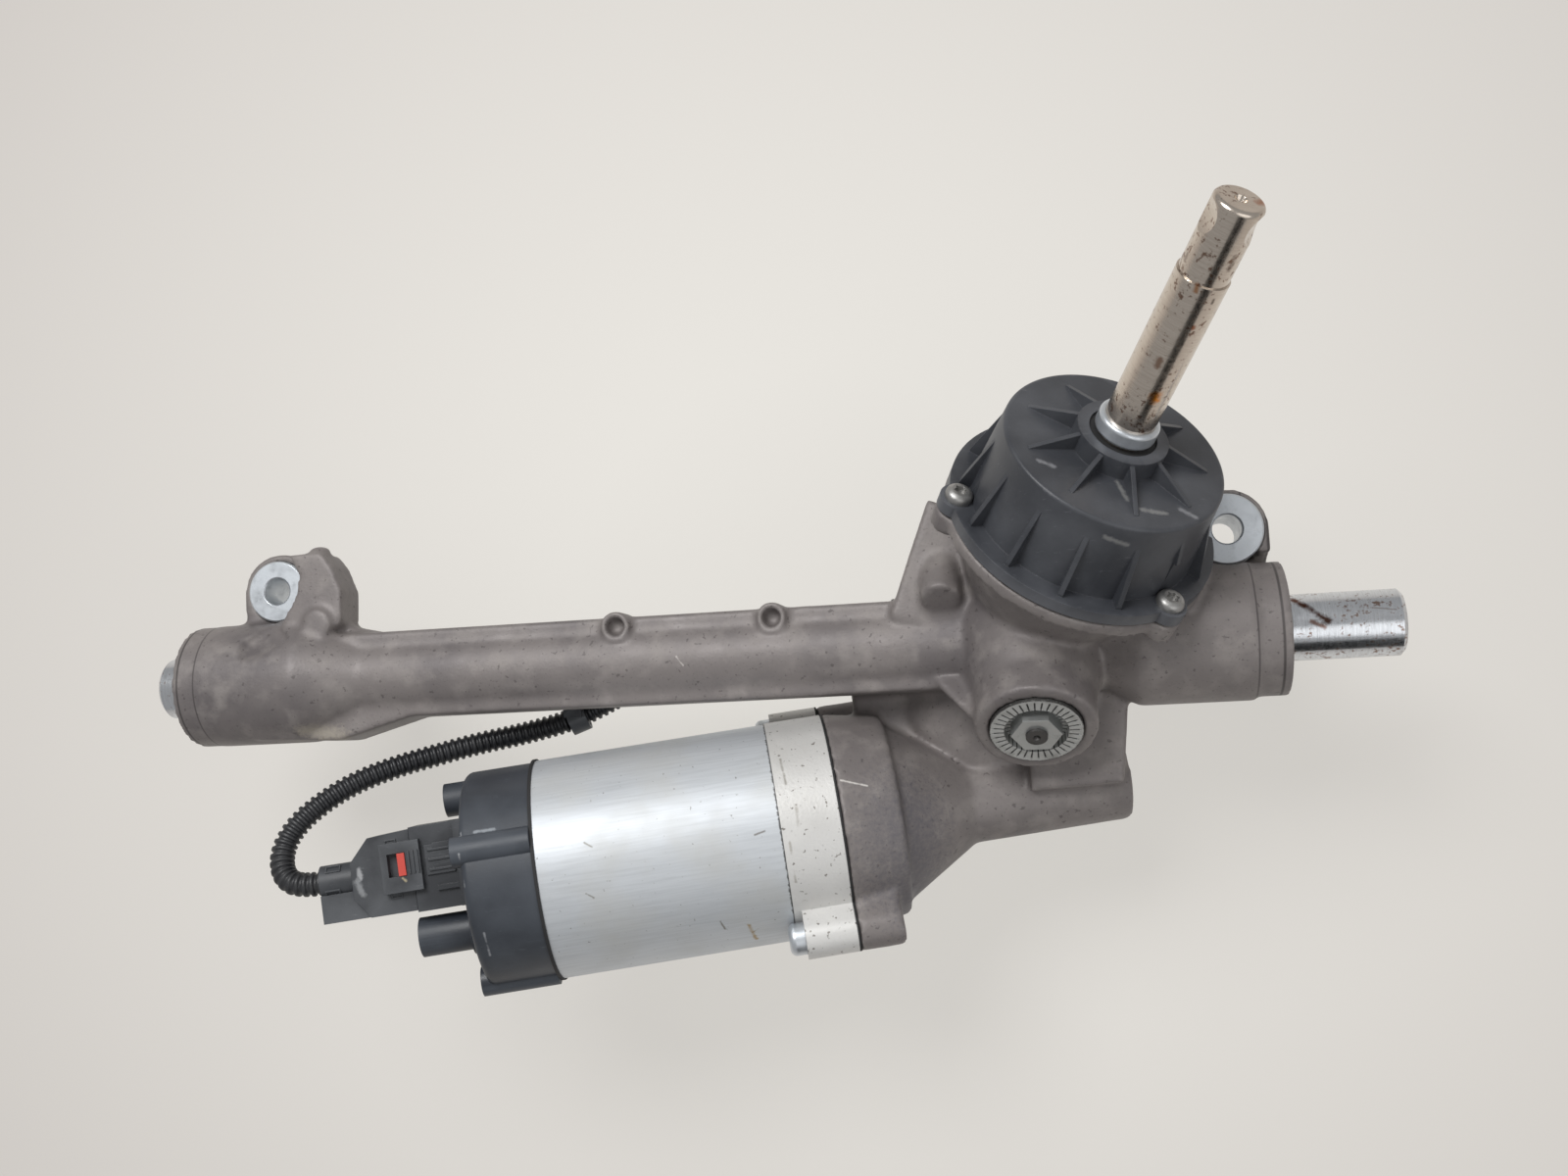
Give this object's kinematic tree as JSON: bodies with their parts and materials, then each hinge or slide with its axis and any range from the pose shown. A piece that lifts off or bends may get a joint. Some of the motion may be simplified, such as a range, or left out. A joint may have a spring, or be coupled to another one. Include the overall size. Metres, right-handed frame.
{
  "type": "steering rack",
  "caption": "Electric power steering rack with a cast housing, motor and control unit, worm drive, capped torque sensor, input shaft and corrugated sensor loom.",
  "frame": {"origin": "on the rack bar's axis, inside the pinion-side boot seat and 7 mm in from the housing's end", "axes": "+X along the rack bar towards its pinion-side end, +Z along the mounting bolts, out of the bushes' bolt faces"},
  "size_m": [0.521, 0.269, 0.2465],
  "materials": {
    "cast_housing": "cast, dull brownish grey",
    "cast_flange": "cast, light grey",
    "bright_steel": "ground",
    "dark_steel": "hardened",
    "zinc": "zinc plated",
    "satin_can": "satin",
    "black_plastic": "moulded",
    "red_plastic": "moulded",
    "loom_plastic": "corrugated",
    "seal_rubber": "moulded",
    "gear_plastic": "moulded",
    "winding": "copper and laminations",
    "contact": "plated",
    "board": "lacquered"
  },
  "bodies": {
    "housing": {"rack_housing": "cast_housing", "mount_bush_pinion_side": "zinc", "mount_bush_far_side": "zinc", "rack_bushing": "gear_plastic", "end_stop_rings": "seal_rubber", "pinion_upper_bearing": "bright_steel", "pinion_lower_bearing": "bright_steel", "lower_cover": "cast_flange", "lower_cover_screws": "zinc", "cover_gasket": "seal_rubber", "sensor_cover": "black_plastic", "shaft_seal": "seal_rubber", "cover_screws": "zinc", "torque_sensor": "board", "yoke": "gear_plastic", "yoke_spring": "dark_steel", "yoke_plug": "zinc", "yoke_nut": "zinc", "yoke_stud": "dark_steel", "worm_bearings": "bright_steel", "motor_flange": "cast_flange", "motor_gasket": "seal_rubber", "motor_bolts": "zinc", "motor_can": "satin_can", "motor_bearings": "bright_steel", "stator": "winding", "ecu_cover": "black_plastic", "ecu_seal": "seal_rubber", "ecu_board": "board", "signal_header": "black_plastic", "power_header": "black_plastic", "power_blades": "contact", "harness_plug": "black_plastic", "sensor_loom": "loom_plastic", "loom_clip": "black_plastic", "sensor_grommet": "seal_rubber"},
    "rack": {"rack_bar": "bright_steel"},
    "pinion": {"pinion": "dark_steel", "worm_wheel_hub": "dark_steel", "worm_wheel_rim": "gear_plastic", "torsion_bar": "dark_steel", "sensor_magnet": "dark_steel"},
    "input": {"input_shaft": "bright_steel", "shaft_collar": "zinc", "sensor_rotor": "gear_plastic"},
    "rotor": {"worm": "dark_steel", "coupling": "gear_plastic", "rotor_shaft": "dark_steel", "rotor": "dark_steel"},
    "lock": {"plug_lock": "red_plastic"}
  },
  "joints": [
    {"name": "rotor_spin", "type": "hinge", "parent": "housing", "child": "rotor", "pos_m": [-0.1033, -0.0616, -0.02407], "axis": [-0.9745, -0.1107, 0.1954], "range_deg": [-12407, 8149]},
    {"name": "pinion_turn", "type": "hinge", "parent": "housing", "child": "pinion", "pos_m": [-0.091, 0.01132, -0.00945], "axis": [0.3779, 0.5932, 0.7108], "range_deg": [-605.22, 397.52]},
    {"name": "rack_slide", "type": "slide", "parent": "housing", "child": "rack", "axis": [1, 0, 0], "range_m": [-0.0845, 0.0555]},
    {"name": "shaft_twist", "type": "hinge", "parent": "pinion", "child": "input", "pos_m": [-0.091, 0.01132, -0.00945], "axis": [0.3779, 0.5932, 0.7108], "range_deg": [-4, 4], "stiffness_Nm_per_rad": 1},
    {"name": "lock_slide", "type": "slide", "parent": "housing", "child": "lock", "axis": [-0.9745, -0.1107, 0.1954], "range_m": [0, 0.004]}
  ],
  "couplings": [
    {"joint": "pinion_turn", "follows": "rack_slide", "rad_per_m": 125},
    {"joint": "rotor_spin", "follows": "rack_slide", "rad_per_m": 2562.5}
  ]
}
